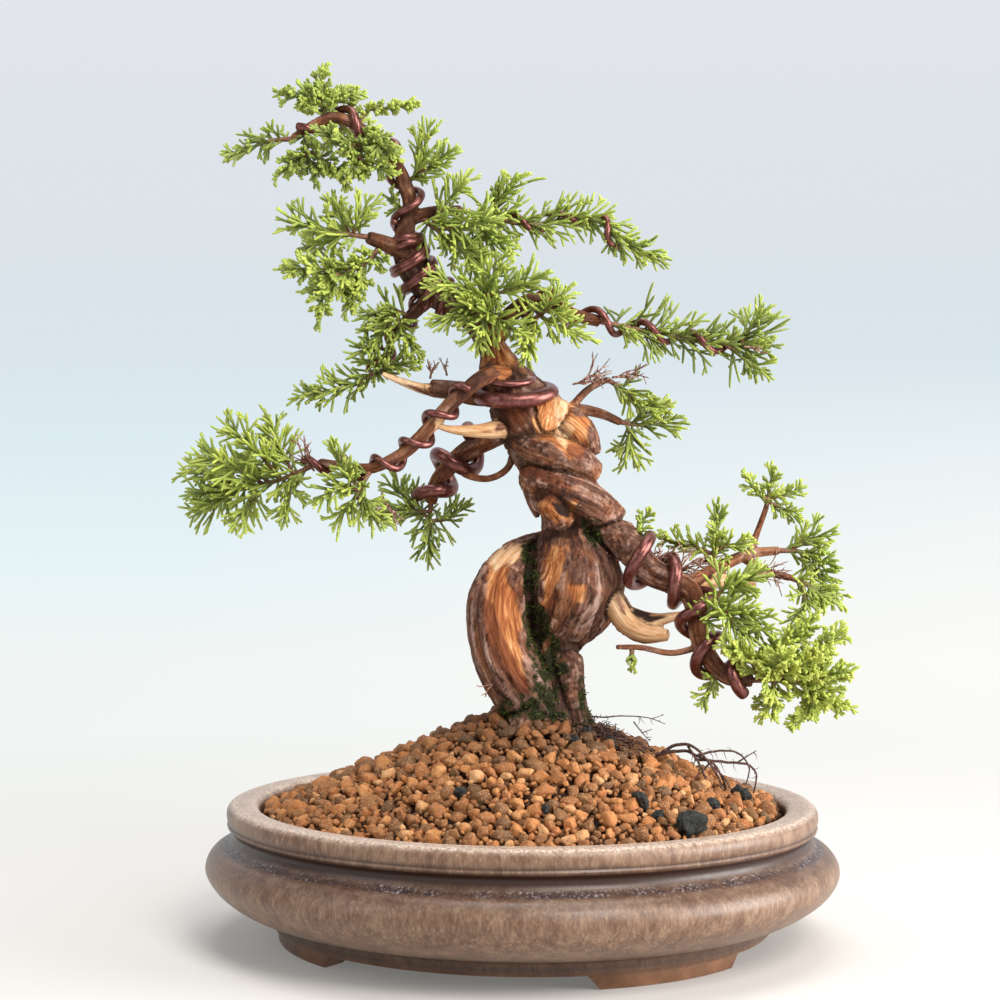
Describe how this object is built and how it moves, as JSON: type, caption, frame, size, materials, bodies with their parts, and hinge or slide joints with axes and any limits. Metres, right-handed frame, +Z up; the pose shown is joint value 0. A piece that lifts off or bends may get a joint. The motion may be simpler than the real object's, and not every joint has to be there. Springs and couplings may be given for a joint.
{
  "type": "bonsai tree in a pot",
  "caption": "Wired juniper bonsai with a twisted trunk, leaning over a mound of granular soil in a shallow oval glazed pot on feet.",
  "frame": {"origin": "on the surface that the pot stands on, under the middle of the pot", "axes": "+Z up; +X along the pot's long axis, towards the side the low limb reaches; +Y towards the back of the tree, whose front faces 18 degrees from -Y towards +X"},
  "size_m": [0.2193, 0.2, 0.2925],
  "materials": {
    "glaze": "satin",
    "netting": "matte",
    "granules": "matte",
    "bark": "matte",
    "foliage": "matte",
    "wire": "satin"
  },
  "bodies": {
    "root": {"pot": "glaze", "drain_screen_left": "netting", "drain_screen_right": "netting", "soil": "granules", "trunk_and_limbs": "bark", "wire_low_limb": "wire", "wire_left_limb": "wire", "wire_back_left_limb": "wire", "wire_trunk": "wire", "wire_leader": "wire", "wire_long_limb": "wire", "wire_top_right": "wire", "wire_mid_left": "wire", "foliage_apex_tip": "foliage", "foliage_apex_crown": "foliage", "foliage_apex_front": "foliage", "foliage_apex_low": "foliage", "foliage_apex_back": "foliage", "foliage_apex_arm": "foliage", "foliage_apex_fan": "foliage", "foliage_neck_sprig": "foliage", "foliage_upper_left": "foliage", "foliage_upper_left_low": "foliage", "foliage_mid_left": "foliage", "foliage_mid_left_top": "foliage", "foliage_top_right": "foliage", "foliage_top_right_low": "foliage", "foliage_middle": "foliage", "foliage_middle_right": "foliage", "foliage_long_limb": "foliage", "foliage_right_back": "foliage", "foliage_right_back_top": "foliage", "foliage_left_pad": "foliage", "foliage_left_inner": "foliage", "foliage_back_left": "foliage", "foliage_right_pad": "foliage", "foliage_right_middle": "foliage", "foliage_right_far": "foliage", "foliage_right_far_low": "foliage", "foliage_right_riser": "foliage", "foliage_right_sprig": "foliage", "foliage_coil_sprig": "foliage", "foliage_hanging_sprig": "foliage", "foliage_right_under": "foliage"}
  },
  "joints": []
}
